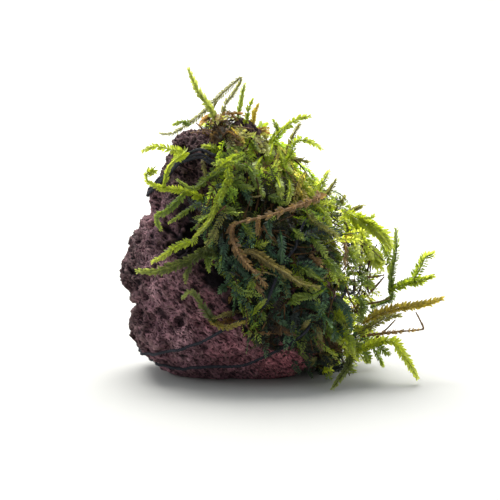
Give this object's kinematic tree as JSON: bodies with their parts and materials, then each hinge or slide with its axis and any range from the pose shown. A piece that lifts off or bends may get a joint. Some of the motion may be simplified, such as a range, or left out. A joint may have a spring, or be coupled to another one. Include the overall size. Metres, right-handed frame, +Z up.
{
  "type": "java moss on lava rock",
  "caption": "Loose block of dark lava rock with java moss tied on by thread: five moss clumps and long leafy shoots that stand clear of it.",
  "frame": {"origin": "middle of the worn flat face that the rock rests on", "axes": "+Z up, +X to the right and +Y away from the viewer when the bare left half of the rock and the moss on the right half are seen from the front"},
  "size_m": [0.0811, 0.0625, 0.0777],
  "materials": {
    "rock": "matte",
    "thread": "matte",
    "moss": "matte",
    "bright_leaf": "matte",
    "green_leaf": "matte",
    "yellow_leaf": "matte",
    "brown_stem": "matte",
    "dark_stem": "matte"
  },
  "bodies": {
    "root": {"lava_rock": "rock", "binding_thread": "thread", "moss_crown": "moss", "moss_front": "moss", "moss_right_upper": "moss", "moss_right_lower": "moss", "moss_back": "moss", "tall_shoot": "bright_leaf", "arching_stem_rise": "brown_stem", "arching_stem_fall": "green_leaf", "crown_leafy_stem": "yellow_leaf", "crown_curl": "bright_leaf", "crown_brown_tip": "yellow_leaf", "upper_left_frond": "bright_leaf", "left_fork_main": "green_leaf", "left_fork_tip": "green_leaf", "left_fork_branch": "bright_leaf", "loop_leaf": "green_leaf", "left_low_sprig": "green_leaf", "left_thin_sprig": "green_leaf", "hanging_frond": "bright_leaf", "hanging_frond_tip": "bright_leaf", "long_left_frond": "bright_leaf", "long_left_branch": "green_leaf", "lower_left_shoot": "bright_leaf", "low_yellow_strand": "yellow_leaf", "front_bright_sprig": "bright_leaf", "brown_stem_upper": "brown_stem", "brown_stem_lower": "brown_stem", "brown_stem_limb": "yellow_leaf", "upper_right_frond": "bright_leaf", "upper_right_brown": "yellow_leaf", "upper_right_arc": "bright_leaf", "right_grey_tip": "dark_stem", "right_bright_tip": "bright_leaf", "right_brown_tip": "yellow_leaf", "right_peak": "yellow_leaf", "right_peak_low": "yellow_leaf", "backlit_frond": "bright_leaf", "backlit_frond_low": "bright_leaf", "upright_stem": "dark_stem", "far_frond": "bright_leaf", "far_frond_tip": "bright_leaf", "gold_frond": "yellow_leaf", "gold_frond_low": "yellow_leaf", "kinked_stem": "brown_stem", "kinked_stem_end": "brown_stem", "small_twig": "brown_stem", "lower_right_frond": "bright_leaf", "floor_frond": "green_leaf", "dark_twig": "dark_stem", "dark_twig_low": "dark_stem", "old_stem_bundle": "dark_stem", "back_high_frond": "bright_leaf", "back_left_frond": "green_leaf", "back_hanging_frond": "bright_leaf", "back_right_frond": "green_leaf", "back_low_frond": "yellow_leaf", "back_stem": "brown_stem"}
  },
  "joints": []
}
